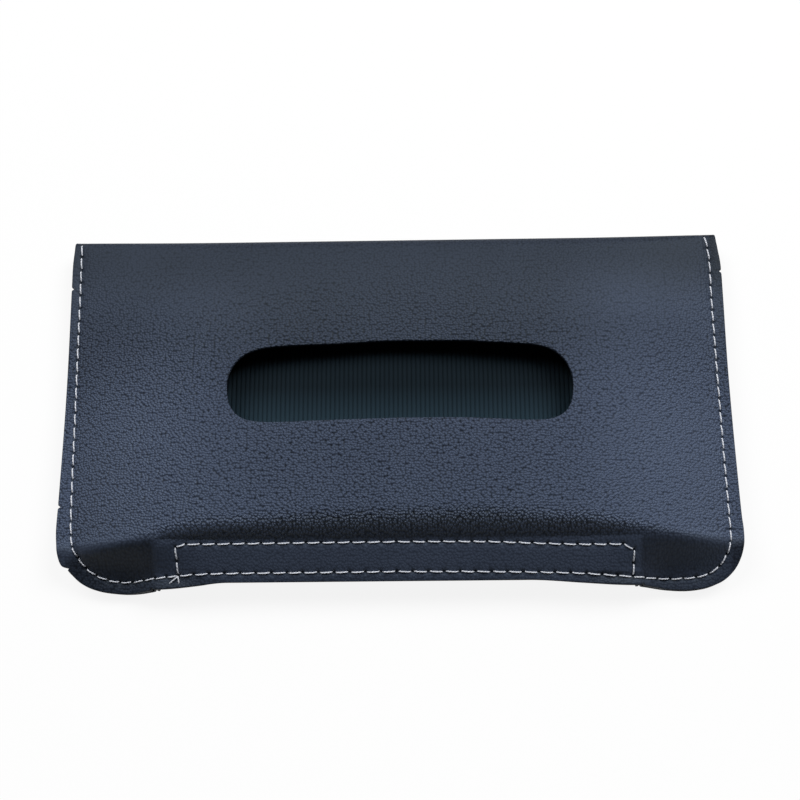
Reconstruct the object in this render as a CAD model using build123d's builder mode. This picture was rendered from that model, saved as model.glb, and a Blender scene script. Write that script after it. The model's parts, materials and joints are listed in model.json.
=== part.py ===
# Car tissue holder: a leather pouch with a long slot in its front, a mouth along
# its lower edge that magnets keep closed, and two elastic straps on its back.
# It lies on its back with the front up. Lengths are in millimetres.
import os
from math import atan2, cos, degrees, pi, radians, sin, sqrt, tan

from build123d import *

os.makedirs("parts", exist_ok=True)

# Whole pouch
width = 236.0
height = 132.0
corner_radius = 13.5
leather = 1.4
seam_margin = 4.8
running_gap = 0.3

# Layers on the back, from the floor upward
strap_thickness = 1.4
visor_gap = 5.2
stiffener_thickness = 1.0
lining_thickness = 0.8
layer_side_margin = 13.0
layer_top_margin = 6.5
layer_lower_margin = 8.5
layer_corner_radius = 22.0

# Bulge of the front
roll_room = 7.0
crease_room = 15.6
crease_from_lower_edge = 20.7
crease_drop = 6.4
crease_softness = 6.0
level_half_width = 60.0
seam_wrap = 2.0
bulge_power_share = 0.8
station_shares = [0.03, 0.08, 0.16, 0.27, 0.4, 0.55, 0.75, 1.0]
softness_limit_share = 0.4
room_softness_share = 0.3

# Slot for the tissues
slot_width = 121.0
slot_height = 29.5
slot_from_top_edge = 59.0

# Mouth and its lip
lip_width = 160.0
lip_from_crease = 7.2
lip_edge_setback = 2.6
back_edge_setback = 3.6
lip_rest_gap = 0.3
lip_corner_radius = 3.0
rectangle_height = 10.7
rectangle_from_edge = 3.4

# Magnets and what holds them
magnet_count = 4
magnet_length = 24.0
magnet_width = 8.0
magnet_thickness = 1.0
magnet_pitch = 31.0
facing_thickness = 1.6
facing_side_margin = 1.0
facing_edge_margin = 2.2
facing_hinge_margin = 1.5

# Stitches
thread = 0.75
stitch_length = 4.0
stitch_pitch = 5.2
stitch_from_edge = 3.8
stitch_end_margin = 4.0
hem_stitch_from_edge = 2.5

# Elastic straps
strap_width = 25.0
strap_spread = 124.0
strap_end_length = 12.0
strap_top_margin = 14.0
strap_bottom_margin = 23.0
strap_ramp = 16.0
strap_stitch_margin = 2.5
strap_stitch_length = 2.2
strap_stitch_pitch = 3.0

# Heights of the layers
back_under = strap_thickness + visor_gap
back_top = back_under + leather
stiffener_top = back_top + stiffener_thickness
lining_top = stiffener_top + lining_thickness
flange_top = back_top + leather

# Edges and places across the pouch
side_x = width / 2
top_y = height / 2
lower_y = -height / 2
seam_x = side_x - seam_margin
seam_y = lower_y + seam_margin
seam_corner_radius = corner_radius - seam_margin
roll_radius = leather + roll_room / 2
wrap_y = top_y - roll_radius - seam_wrap
crease_y = lower_y + crease_from_lower_edge
crease_z = flange_top + crease_room
slot_y = top_y - slot_from_top_edge
lip_half = lip_width / 2
mouth_half = lip_half + running_gap
back_edge_y = lower_y + back_edge_setback

# Plane of the lip: its origin is the hinge line on the outer face, +Y climbs to it
wall_run = crease_y - seam_y
wall_rise = crease_z - back_top
wall_length = sqrt(wall_run**2 + wall_rise**2)
hinge_y = crease_y - wall_run * lip_from_crease / wall_length
hinge_z = crease_z - wall_rise * lip_from_crease / wall_length
lip_edge_y = lower_y + lip_edge_setback
lip_edge_z = lining_top + lip_rest_gap + leather
lip_length = sqrt((hinge_y - lip_edge_y) ** 2 + (hinge_z - lip_edge_z) ** 2)
lip_angle = atan2(hinge_z - lip_edge_z, hinge_y - lip_edge_y)
lip_plane = Plane(
    origin=(0, hinge_y, hinge_z),
    x_dir=(1, 0, 0),
    z_dir=(0, -sin(lip_angle), cos(lip_angle)),
)

# Rows of the stitched rectangles
lip_row_low = -lip_length + rectangle_from_edge
lip_row_high = lip_row_low + rectangle_height
lip_row_middle = (lip_row_low + lip_row_high) / 2
lip_row_half = lip_half - rectangle_from_edge
back_row_low = back_edge_y + rectangle_from_edge
back_row_high = back_row_low + rectangle_height
back_row_middle = (back_row_low + back_row_high) / 2


def smooth_step(share):
    """Ease from 0 to 1, level at both ends."""
    share = min(1, max(0, share))
    return share * share * (3 - 2 * share)


def side_share(x):
    """0 at the side seam, 1 where the front is level across the pouch."""
    share = (seam_x - abs(x)) / (seam_x - level_half_width)
    return min(1, max(0, share))


def bulge_share(x):
    """Share of the full bulge that the front has this far from the middle."""
    return sin(pi / 2 * side_share(x)) ** bulge_power_share


def wall_foot_y(x):
    """Where the lower wall meets the flange, which follows the rounded corner."""
    past_corner = max(0, abs(x) - (side_x - corner_radius))
    past_corner = min(past_corner, seam_corner_radius)
    return seam_y + seam_corner_radius - sqrt(seam_corner_radius**2 - past_corner**2)


def rounded_corner(before, corner, after, setback):
    """Start, middle and end of the arc that rounds a corner."""
    back = (before - corner).normalized()
    ahead = (after - corner).normalized()
    turn = radians(180 - back.get_angle(ahead))
    middle = corner + (back + ahead).normalized() * setback * tan(turn / 4)
    return corner + back * setback, middle, corner + ahead * setback


def crease_corner(x):
    """Corner of the front and the wall at the crease, in the plane across X."""
    drop = crease_drop * smooth_step(1 - side_share(x))
    return Vector(crease_y - drop, flange_top + crease_room * bulge_share(x))


def front_section(x):
    """Outer outline of the front, cut across X."""
    radius = leather + roll_room * bulge_share(x) / 2
    roll_low = Vector(top_y - radius, back_under)
    roll_tip = Vector(top_y, back_under + radius)
    roll_high = Vector(top_y - radius, back_under + 2 * radius)
    corner = crease_corner(x)
    foot = Vector(wall_foot_y(x), back_top)
    wall = (corner - foot).length
    setback = min(crease_softness * bulge_share(x) + leather / 2, wall * softness_limit_share)
    crease = rounded_corner(roll_high, corner, foot, setback)
    with BuildSketch(Plane.YZ.offset(x)) as section:
        with BuildLine():
            Line((wrap_y, back_under), roll_low)
            ThreePointArc(roll_low, roll_tip, roll_high)
            Line(roll_high, crease[0])
            ThreePointArc(*crease)
            Polyline(crease[2], foot, (wrap_y, back_top), (wrap_y, back_under))
        make_face()
    return section.sketch.faces()[0]


def room_section(x):
    """Outline of the room under the front leather, cut across X."""
    radius = leather + roll_room * bulge_share(x) / 2
    roll_low = Vector(top_y - radius, back_top)
    roll_tip = Vector(top_y - leather, back_under + radius)
    roll_high = Vector(top_y - radius, back_under + 2 * radius - leather)
    corner = crease_corner(x)
    foot = Vector(wall_foot_y(x), back_top)
    along = (corner - roll_high - Vector(0, leather)).normalized()
    down = (foot - corner).normalized()
    under_front = Vector(-along.Y, along.X)
    under_wall = Vector(-down.Y, down.X)
    inset = (under_front + under_wall) * (leather / (1 + under_front.dot(under_wall)))
    room_corner = corner + inset
    room_foot = room_corner + down * ((room_corner.Y - back_top + leather) / -down.Y)
    wall = (room_corner - room_foot).length
    setback = min(crease_softness * bulge_share(x), wall * room_softness_share)
    crease = rounded_corner(roll_high, room_corner, room_foot, setback)
    with BuildSketch(Plane.YZ.offset(x)) as section:
        with BuildLine():
            ThreePointArc(roll_low, roll_tip, roll_high)
            Line(roll_high, crease[0])
            ThreePointArc(*crease)
            Polyline(
                crease[2],
                room_foot,
                (wrap_y, back_top - leather),
                (wrap_y, back_top),
                roll_low,
            )
        make_face()
    return section.sketch.faces()[0]


def stations():
    """Places along X of the sections between the seams, from left to right."""
    half = [seam_x - share * (seam_x - level_half_width) for share in station_shares]
    return [-x for x in half] + half[::-1]


def sheet_outline(upper_y):
    """Outline of a leather sheet with rounded lower corners, up to the given height."""
    with BuildSketch() as outline:
        with Locations((0, lower_y)):
            Rectangle(width, upper_y - lower_y, align=(Align.CENTER, Align.MIN))
        fillet(outline.vertices().sort_by(Axis.Y)[:2], corner_radius)
    return outline.sketch


def layer_outline():
    """Outline of the board and lining: clear of the walls, with a tongue in the mouth."""
    layer_low = lower_y + layer_lower_margin
    tongue_low = back_edge_y + running_gap
    with BuildSketch() as outline:
        with Locations((0, layer_low)):
            Rectangle(
                width - 2 * layer_side_margin,
                top_y - layer_top_margin - layer_low,
                align=(Align.CENTER, Align.MIN),
            )
        fillet(outline.vertices().sort_by(Axis.Y)[:2], layer_corner_radius)
        with Locations((0, tongue_low)):
            Rectangle(
                lip_width,
                layer_low + layer_corner_radius - tongue_low,
                align=(Align.CENTER, Align.MIN),
            )
    return outline.sketch


def row_places(start, end, pitch=stitch_pitch):
    """Places of the stitches of a straight row, each with its direction."""
    run = Vector(*end) - Vector(*start)
    count = max(1, round(run.length / pitch))
    angle = degrees(atan2(run.Y, run.X))
    places = []
    for number in range(count):
        middle = Vector(*start) + run * ((number + 1 / 2) / count)
        places.append(Location((middle.X, middle.Y), angle))
    return places


def rectangle_places(half_width, low, high, pitch=stitch_pitch):
    """Places of the stitches around a rectangle that is centred on X = 0."""
    corners = [(-half_width, low), (half_width, low), (half_width, high), (-half_width, high)]
    places = []
    for start, end in zip(corners, corners[1:] + corners[:1]):
        places += row_places(start, end, pitch)
    return places


def seam_places(side):
    """Places of the stitches down one side seam and round its corner to the mouth."""
    seam_radius = corner_radius - stitch_from_edge
    row_x = side_x - stitch_from_edge
    row_y = lower_y + stitch_from_edge
    with BuildLine() as path:
        down = Line((side * row_x, wrap_y), (side * row_x, row_y + seam_radius))
        bend = RadiusArc(
            down @ 1, (side * (row_x - seam_radius), row_y), side * seam_radius
        )
        Line(bend @ 1, (side * (mouth_half + stitch_end_margin), row_y))
    seam = path.wire()
    count = round(seam.length / stitch_pitch)
    places = []
    for number in range(count):
        share = (number + 1 / 2) / count
        point = seam.position_at(share)
        ahead = seam.tangent_at(share)
        places.append(Location((point.X, point.Y), degrees(atan2(ahead.Y, ahead.X))))
    return places


outer_stations = [-side_x, -seam_x] + stations() + [seam_x, side_x]
outer_sections = [front_section(x) for x in outer_stations]
room_sections = [room_section(x) for x in stations()]

# Front leather: side flanges, bulging front and the roll over the top edge
with BuildPart() as outer_cover:
    with BuildSketch(Plane.XY.offset(back_top)):
        add(sheet_outline(wrap_y))
    extrude(amount=leather)
    loft(outer_sections, ruled=True)
    loft(room_sections, ruled=True, mode=Mode.SUBTRACT)
    with BuildSketch(Plane.XY.offset(lining_top)):
        with Locations((0, slot_y)):
            SlotOverall(slot_width, slot_height)
    extrude(amount=crease_z, mode=Mode.SUBTRACT)
    with BuildSketch(lip_plane):
        with Locations((0, running_gap / 2)):
            Rectangle(2 * mouth_half, height, align=(Align.CENTER, Align.MAX))
    extrude(amount=crease_z, both=True, mode=Mode.SUBTRACT)
outer_cover.part.label = "outer_cover"
export_step(outer_cover.part, "parts/outer_cover.step")

# Back leather, cut back along the mouth
with BuildPart() as back_panel:
    with BuildSketch(Plane.XY.offset(back_under)):
        add(sheet_outline(wrap_y))
        with Locations((0, back_edge_y)):
            Rectangle(
                2 * mouth_half,
                corner_radius,
                align=(Align.CENTER, Align.MAX),
                mode=Mode.SUBTRACT,
            )
    extrude(amount=leather)
back_panel.part.label = "back_panel"
export_step(back_panel.part, "parts/back_panel.step")

# Board that keeps the back flat, with pockets for the back magnets
with BuildPart() as back_stiffener:
    with BuildSketch(Plane.XY.offset(back_top)):
        add(layer_outline())
        with Locations((0, back_row_middle)):
            with GridLocations(magnet_pitch, 0, magnet_count, 1):
                Rectangle(magnet_length, magnet_width, mode=Mode.SUBTRACT)
    extrude(amount=stiffener_thickness)
back_stiffener.part.label = "back_stiffener"
export_step(back_stiffener.part, "parts/back_stiffener.step")

# Magnets in the back
with BuildPart() as back_magnets:
    with BuildSketch(Plane.XY.offset(back_top)):
        with Locations((0, back_row_middle)):
            with GridLocations(magnet_pitch, 0, magnet_count, 1):
                Rectangle(magnet_length, magnet_width)
    extrude(amount=min(magnet_thickness, stiffener_thickness))
back_magnets.part.label = "back_magnets"
export_step(back_magnets.part, "parts/back_magnets.step")

# Lining that shows through the slot
with BuildPart() as back_lining:
    with BuildSketch(Plane.XY.offset(stiffener_top)):
        add(layer_outline())
    extrude(amount=lining_thickness)
back_lining.part.label = "back_lining"
export_step(back_lining.part, "parts/back_lining.step")

# Stitched rectangle on the back leather, round the back magnets
with BuildPart() as back_thread:
    with BuildSketch(Plane.XY.offset(back_under)):
        with Locations(*rectangle_places(lip_row_half, back_row_low, back_row_high)):
            SlotOverall(stitch_length, thread)
    extrude(amount=-thread)
back_thread.part.label = "back_thread"
export_step(back_thread.part, "parts/back_thread.step")

# Stitches that hold the rolled-over leather to the back leather
with BuildPart() as top_hem_thread:
    hem_y = wrap_y - hem_stitch_from_edge
    hem_end = side_x - stitch_from_edge - stitch_pitch
    with BuildSketch(Plane.XY.offset(back_under)):
        with Locations(*row_places((-hem_end, hem_y), (hem_end, hem_y))):
            SlotOverall(stitch_length, thread)
    extrude(amount=-thread)
top_hem_thread.part.label = "top_hem_thread"
export_step(top_hem_thread.part, "parts/top_hem_thread.step")

# Side seams, stitched through both sheets, so they show on the front and the back
for side_name, side in [("left", -1), ("right", 1)]:
    with BuildPart() as seam_thread:
        with BuildSketch(Plane.XY.offset(flange_top)):
            with Locations(*seam_places(side)):
                SlotOverall(stitch_length, thread)
        extrude(amount=thread)
        with BuildSketch(Plane.XY.offset(back_under)):
            with Locations(*seam_places(side)):
                SlotOverall(stitch_length, thread)
        extrude(amount=-thread)
    seam_thread.part.label = f"{side_name}_seam_thread"
    export_step(seam_thread.part, f"parts/{side_name}_seam_thread.step")

# Leather of the lip
with BuildPart() as front_lip:
    with BuildSketch(lip_plane) as lip_outline:
        with Locations((0, -running_gap / 2)):
            Rectangle(lip_width, lip_length - running_gap / 2, align=(Align.CENTER, Align.MAX))
        fillet(lip_outline.vertices().sort_by(Axis.Y)[:2], lip_corner_radius)
    extrude(amount=-leather)
front_lip.part.label = "front_lip"
export_step(front_lip.part, "parts/front_lip.step")

# Fabric strip behind the lip, with the pockets of the lip magnets
facing_plane = lip_plane.offset(-leather)
facing_low = -lip_length + facing_edge_margin
facing_high = -facing_hinge_margin
with BuildPart() as lip_facing:
    with BuildSketch(facing_plane):
        with Locations((0, facing_low)):
            Rectangle(
                lip_width - 2 * facing_side_margin,
                facing_high - facing_low,
                align=(Align.CENTER, Align.MIN),
            )
    extrude(amount=-facing_thickness)
    with BuildSketch(facing_plane):
        with Locations((0, lip_row_middle)):
            with GridLocations(magnet_pitch, 0, magnet_count, 1):
                Rectangle(magnet_length, magnet_width)
    extrude(amount=-magnet_thickness, mode=Mode.SUBTRACT)
lip_facing.part.label = "lip_facing"
export_step(lip_facing.part, "parts/lip_facing.step")

# Magnets in the lip
with BuildPart() as lip_magnets:
    with BuildSketch(facing_plane):
        with Locations((0, lip_row_middle)):
            with GridLocations(magnet_pitch, 0, magnet_count, 1):
                Rectangle(magnet_length, magnet_width)
    extrude(amount=-magnet_thickness)
lip_magnets.part.label = "lip_magnets"
export_step(lip_magnets.part, "parts/lip_magnets.step")

# Stitched rectangle on the lip
with BuildPart() as lip_thread:
    with BuildSketch(lip_plane):
        with Locations(*rectangle_places(lip_row_half, lip_row_low, lip_row_high)):
            SlotOverall(stitch_length, thread)
    extrude(amount=thread)
lip_thread.part.label = "lip_thread"
export_step(lip_thread.part, "parts/lip_thread.step")

# Elastic straps: each has two sewn ends and a slack middle that bows to the floor
top_end_y = top_y - strap_top_margin - strap_end_length / 2
bottom_end_y = lower_y + strap_bottom_margin + strap_end_length / 2
band_top_y = top_end_y - strap_end_length / 2 - running_gap
band_bottom_y = bottom_end_y + strap_end_length / 2 + running_gap
for side_name, side in [("left", -1), ("right", 1)]:
    strap_x = side * strap_spread / 2
    for end_name, end_y in [("top", top_end_y), ("bottom", bottom_end_y)]:
        with BuildPart() as strap_end:
            with BuildSketch(Plane.XY.offset(back_under)):
                with Locations((strap_x, end_y)):
                    Rectangle(strap_width, strap_end_length)
            extrude(amount=-strap_thickness)
        strap_end.part.label = f"{side_name}_strap_{end_name}_end"
        export_step(strap_end.part, f"parts/{side_name}_strap_{end_name}_end.step")

    with BuildPart() as strap_thread:
        with BuildSketch(Plane.XY.offset(visor_gap)):
            for end_y in [top_end_y, bottom_end_y]:
                with Locations((strap_x, end_y)):
                    half_x = strap_width / 2 - strap_stitch_margin
                    half_y = strap_end_length / 2 - strap_stitch_margin
                    with Locations(*rectangle_places(half_x, -half_y, half_y, strap_stitch_pitch)):
                        SlotOverall(strap_stitch_length, thread)
        extrude(amount=-thread)
    strap_thread.part.label = f"{side_name}_strap_thread"
    export_step(strap_thread.part, f"parts/{side_name}_strap_thread.step")

    with BuildPart() as strap_band:
        with BuildSketch(Plane.YZ.offset(strap_x)):
            with BuildLine():
                Polyline(
                    (band_bottom_y, visor_gap),
                    (band_bottom_y + strap_ramp, 0),
                    (band_top_y - strap_ramp, 0),
                    (band_top_y, visor_gap),
                    (band_top_y, back_under),
                    (band_top_y - strap_ramp, strap_thickness),
                    (band_bottom_y + strap_ramp, strap_thickness),
                    (band_bottom_y, back_under),
                    close=True,
                )
            make_face()
        extrude(amount=strap_width / 2, both=True)
    strap_band.part.label = f"{side_name}_strap_band"
    export_step(strap_band.part, f"parts/{side_name}_strap_band.step")

print("Hinge line of the lip, Y and Z:", round(hinge_y, 3), round(hinge_z, 3))
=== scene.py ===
import json
from math import cos, pi, radians, sin, tan

import bpy
import numpy as np
from mathutils import Matrix, Vector
from mathutils.geometry import delaunay_2d_cdt


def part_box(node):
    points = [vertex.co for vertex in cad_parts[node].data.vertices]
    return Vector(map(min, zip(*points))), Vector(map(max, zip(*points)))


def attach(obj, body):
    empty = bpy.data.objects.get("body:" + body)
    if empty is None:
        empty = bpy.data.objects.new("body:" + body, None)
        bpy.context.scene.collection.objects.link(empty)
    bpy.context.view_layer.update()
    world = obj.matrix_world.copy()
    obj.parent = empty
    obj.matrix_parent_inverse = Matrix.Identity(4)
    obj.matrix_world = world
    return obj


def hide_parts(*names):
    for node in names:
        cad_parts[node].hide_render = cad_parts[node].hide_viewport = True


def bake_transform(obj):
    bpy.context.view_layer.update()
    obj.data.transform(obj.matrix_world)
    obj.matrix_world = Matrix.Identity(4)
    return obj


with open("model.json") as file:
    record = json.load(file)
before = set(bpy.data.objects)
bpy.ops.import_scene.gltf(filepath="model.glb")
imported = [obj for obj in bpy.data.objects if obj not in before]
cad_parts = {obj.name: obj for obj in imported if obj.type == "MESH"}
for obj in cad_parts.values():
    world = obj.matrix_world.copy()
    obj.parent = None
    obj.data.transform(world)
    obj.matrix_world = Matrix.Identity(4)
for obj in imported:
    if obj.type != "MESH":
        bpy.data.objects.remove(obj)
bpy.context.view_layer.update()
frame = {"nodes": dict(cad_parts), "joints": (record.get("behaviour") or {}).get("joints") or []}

# Shapes are in millimetres and become metres where a mesh is made; materials read metres
MM = 0.001


def node_box(name):
    """Lowest and highest corner of a CAD node, in millimetres."""
    low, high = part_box(name)
    return np.array(low) / MM, np.array(high) / MM


hinge = next(joint for joint in frame["joints"] if joint["name"] == "lip_hinge")
cover_low, _ = node_box("outer_cover")
back_low, back_high = node_box("back_panel")
lining_low, lining_high = node_box("back_lining")
_, lip_high = node_box("front_lip")

# Levels of the layers
leather = back_high[2] - back_low[2]
back_face = back_low[2]
flange_face = back_high[2] + leather
lining_top = lining_high[2]
leaf_face = back_face - leather

# Lip: half its length, half its cut, its lower edge and the hinge that it turns about
lip_half = lip_high[0]
lip_cut = lip_half + 2.6
lip_edge_y = cover_low[1] + 2.5
lip_edge_z = lining_top + 0.3 + leather
hinge_y = hinge["pos_m"][1] / MM
hinge_z = hinge["pos_m"][2] / MM

# Shape of the front across the pouch, and where its lower corners start
seam_mean = 113.6
level_half = 60.0
bulge_power = 0.8
seam_shoulder = 0.7
side_seam_end = -46.0
corner_seam_start = -50.0
corner_start = 62.0
corner_reach = 30.0
mouth_bend_left = 56.0
mouth_bend_right = 42.0

# Lower wall and the crease over it
crease_room = 15.8
crease_middle_y = -45.3
wall_slope_top = 1.25
crease_softness = 4.6
crease_sharpening = 2.4
corner_softness = 0.7
knee_softness = 0.3
foot_softness = 0.8
foot_shoulder = 2.2
corner_foot_softness = 2.6
least_wall = 0.8
least_run = 0.6

# Bulge between the crease and the fold, and the sag above the slot
front_bulge = 1.5
slot_sag = 3.0
slot_sag_width = 46.0
sag_top = 58.0
sag_fall = 36.0
sag_low = -10.0
sag_rise = 32.0

# Top fold, and the leaf that it ends in on the back
fold_radius = 2.1
fold_growth = 2.8
fold_bow = 2.1
fold_tip_left = 66.2
fold_tip_right = 66.4
fold_level_y = 60.0
fold_start = 55.0
fold_span = 25.4
leaf_end = 53.4
leaf_step = 0.6

# Rise and droop of the side flanges round the crease; a rise has a start and a reach along X
flange_rise = 2.6
flange_rise_y = -51.5
flange_rise_reach = 38.0
rise_on_front = (70.0, 35.0)
rise_on_flange = (104.0, 9.0)
droop_start = 80.0
droop_reach = 14.0
droop_y = -51.8
droop_softness = 1.0
droop_slope = tan(radians(31))
droop_limit = 7.6

# Edges of the leather; the middle of a quarter round has come in by round_middle of its radius
edge_radius = 0.35
round_middle = 0.293
edge_step = 0.65
joined_step = 1.0
side_edge_x = 110.0

# Gaps between the points that a cut is filled with
cell = 1.3
hole_gap = 0.2
lane_gap = 0.4
lane_to_hole = 0.3
edge_gap = 0.5

# Stitches; a slant is in degrees
stitch_pitch = 5.2
side_pitch = 4.95
corner_pitch = 4.3
box_pitch = 3.0
stitch_share = 0.76
seam_slant = 4
lip_slant = 3
corner_row_y = -46.0
seam_step = 0.5
row_step = 0.25
thread_width = 0.54
thread_dip = 0.75
thread_sink = 0.55

# Dents that the stitches press, and the holes at their ends
press_depth = 0.38
press_width = 0.75
press_reach = 4.0
press_between = 0.45
pinch_reach = 1.5
hole_depth = 0.45
hole_radius = 0.5
hole_ring = 0.34
lane_step = 0.7
lane_offsets = (-1.5, -0.75, 0, 0.75, 1.5)


def ease(share):
    """Goes from 0 to 1 as share does, level at both ends."""
    share = np.clip(share, 0, 1)
    return share * share * (3 - 2 * share)


def ramp(distance, softness):
    """Zero below zero and distance above it, with a soft turn."""
    turn = (distance + softness) ** 2 / (4 * softness)
    return np.where(np.abs(distance) < softness, turn, np.maximum(distance, 0))


def mix(first, second, share):
    """Between first and second."""
    return first + (second - first) * share


def run_along(path):
    """Length of a path up to each of its points."""
    return np.concatenate([[0], np.cumsum(np.linalg.norm(np.diff(path, axis=0), axis=1))])


def even_places(run, step):
    """Lengths along a path that divide it into equal steps of about this size."""
    count = max(1, int(round(run[-1] / step)))
    return np.linspace(0, run[-1], count + 1)


def points_at(path, run, places):
    """Points of a path at these lengths along it."""
    return np.stack([np.interp(places, run, path[:, k]) for k in (0, 1)], 1)


def even_path(points, step):
    """The same polyline with its points about one step apart."""
    path = np.array(points, float)
    run = run_along(path)
    return points_at(path, run, even_places(run, step))


def smooth_path(points, step):
    """Points at even steps along a smooth curve through the given ones."""
    knots = np.array(points, float)
    before = np.vstack([2 * knots[0] - knots[1], knots[:-1]])
    after = np.vstack([knots[1:], 2 * knots[-1] - knots[-2]])
    slope = (after - before) / 2
    share = np.linspace(0, 1, 24, endpoint=False)[:, None]
    parts = []
    for start, end, leave, arrive in zip(knots, knots[1:], slope, slope[1:]):
        cubic = (2 * share**3 - 3 * share**2 + 1) * start + (3 * share**2 - 2 * share**3) * end
        cubic += (share**3 - 2 * share**2 + share) * leave + (share**3 - share**2) * arrive
        parts.append(cubic)
    return even_path(np.vstack(parts + [knots[-1:]]), step)


# Side seams from the top down and round the lower corners to the ends of the mouth
left_mouth_end = (-74.7, -61.0)
right_mouth_end = (80.4, -62.5)
left_seam_points = [
    (-115.4, 65.0), (-115.0, 50), (-114.4, 20), (-113.6, -12), (-113.0, -31), (-112.4, -45),
    (-111.6, -50.6), (-109.2, -54.6), (-106.2, -58.1), (-103.2, -59.8), (-99, -61.2), (-94.5, -61.8),
    (-89, -61.7), (-84.5, -61.5), (-80, -61.3), left_mouth_end,
]
right_seam_points = [
    (112.9, 65.0), (114.1, 56), (113.9, 39), (114.0, 0), (114.1, -38), (114.2, -49.0),
    (113.7, -52.6), (112.6, -55.3), (110.8, -58.0), (108.2, -60.2), (103.5, -61.8), (97.5, -62.2),
    (91, -62.3), (85, -62.5), right_mouth_end,
]
left_seam = smooth_path(left_seam_points, seam_step)
right_seam = smooth_path(right_seam_points, seam_step)
left_side_seam = left_seam[left_seam[:, 1] > side_seam_end][::-1]
right_side_seam = right_seam[right_seam[:, 1] > side_seam_end][::-1]
left_corner_seam = left_seam[left_seam[:, 1] < corner_seam_start][::-1]
right_corner_seam = right_seam[right_seam[:, 1] < corner_seam_start][::-1]

# Free edges of the front leather, from the mouth round the corner and up to the top fold
left_edge_points = [
    (-lip_cut, -65.2), (-86.0, -65.4), (-91, -65.5), (-96.8, -65.3), (-103.7, -64.3),
    (-108.8, -62.1), (-112.4, -59.0), (-113.9, -57.4), (-115.7, -56.3), (-116.7, -53.6),
    (-117.2, -49.4), (-117.6, -43.7), (-117.5, -31), (-117.6, 10), (-118.2, 48), (-118.3, 57),
    (-117.9, 65), (-117.8, 80.4),
]
right_edge_points = [
    (lip_cut, -65.2), (86.0, -65.2), (90, -65.4), (96, -65.9), (101, -65.9), (106, -65.2),
    (111.3, -63.3), (115.3, -60.0), (117.6, -56.0), (118.6, -51.6), (118.8, -46.2),
    (118.4, -36), (118.0, 10), (118.2, 39), (118.2, 53), (117.5, 60), (116.9, 66),
    (116.7, 80.4),
]
left_notches = [(-118.2, 47.5), (-117.5, -36.0), (-114.2, -57.2), (-83.6, -65.3)]
right_notches = [(118.2, 51.0), (84.2, -65.7)]

# Crease between the front and the lower wall, from the left seam to the right one
crease_points = [
    (-113.5, -53.8), (-105, -53.3), (-97, -52.2), (-84, -50.2), (-68, -48.0), (-34, -45.9),
    (0, -45.0), (30, -44.6), (50, -45.2), (69, -46.6), (84, -48.8), (97, -51.0), (114.5, -52.9),
]
crease_line = smooth_path(crease_points, seam_step)

# Edge of the slot, from its lower middle round to the right
slot_points = [
    (0.0, -8.5), (20.0, -8.7), (33.0, -9.2), (44.0, -9.8), (51.5, -9.6), (56.0, -8.5), (58.9, -6.4),
    (60.6, -3.4), (61.5, 0.6), (61.7, 4.6), (61.3, 8.0), (60.0, 11.7), (57.6, 15.2), (54.0, 17.9),
    (49.0, 19.5), (42.0, 20.3), (33.5, 21.0), (22.0, 21.9), (8.0, 22.3), (-6.0, 22.3), (-19.4, 21.4),
    (-30.0, 20.9), (-42.0, 20.0), (-48.8, 18.7), (-53.2, 16.6), (-56.4, 13.1), (-58.2, 9.2),
    (-58.8, 5.0), (-58.4, 0.6), (-57.2, -3.6), (-54.2, -7.2), (-49.5, -9.0), (-41.0, -9.5),
    (-20.0, -8.9), (0.0, -8.5),
]


def seam_limit(x, y):
    """How far from the middle the side seam is at this height, on the side of x."""
    at_left = np.interp(y, left_side_seam[:, 1], -left_side_seam[:, 0])
    at_right = np.interp(y, right_side_seam[:, 1], right_side_seam[:, 0])
    return np.where(x < 0, at_left, at_right)


def corner_share(x):
    """0 in the middle of the lower wall, 1 at its corners."""
    return ease((np.abs(x) - corner_start) / corner_reach)


def foot_y(x):
    """Where the lower wall starts: the lip's edge in the middle, the seam at the corners."""
    at_left = np.interp(-x, -left_corner_seam[:, 0], left_corner_seam[:, 1])
    at_right = np.interp(x, right_corner_seam[:, 0], right_corner_seam[:, 1])
    seam = np.where(x < 0, at_left, at_right) + foot_shoulder
    return mix(lip_edge_y, seam, corner_share(x))


def mouth_edge_y(x):
    """Place along Y of the lower edge of the leather along the mouth."""
    start = np.where(x < 0, mouth_bend_left, mouth_bend_right)
    end = np.where(x < 0, left_edge_points[0][1], right_edge_points[0][1])
    return mix(lip_edge_y, end, ease((np.abs(x) - start) / (lip_cut - start)))


def bulge_share(x, y):
    """Share of the full bulge: none at the side seam, all where the front is level across."""
    limit = seam_limit(x, y) - seam_shoulder
    level = np.clip((limit - np.abs(x)) / (limit - level_half), 0, 1)
    return np.sin(pi / 2 * level) ** bulge_power


def fold_bulge(x):
    """Share of the full bulge just below the top fold."""
    return bulge_share(x, np.full_like(x, fold_level_y))


def flange_lift(x, y, start, reach):
    """Height of a side flange over its level place: up at the crease, down below it."""
    away = np.abs(x)
    near_crease = np.exp(-(((y - flange_rise_y) / flange_rise_reach) ** 2))
    up = flange_rise * ease((away - start) / reach) * near_crease
    drop = droop_slope * ramp(droop_y - y, droop_softness)
    down = drop / (1 + (drop / droop_limit) ** 4) ** 0.25
    return up - down * ease((away - droop_start) / droop_reach)


def fold_shape(x):
    """Radius of the top fold and the Y and Z of its axis."""
    share = fold_bulge(x)
    radius = fold_radius + fold_growth * share
    tip = mix(fold_tip_left, fold_tip_right, x / (2 * seam_mean) + 0.5)
    axis_y = tip - fold_bow * share - radius
    return radius, axis_y, leaf_face + radius


def fold_point(fold, angle):
    """Y and Z on the top fold at an angle from upright."""
    radius, axis_y, axis_z = fold
    return axis_y + radius * np.sin(angle), axis_z + radius * np.cos(angle)


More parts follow.
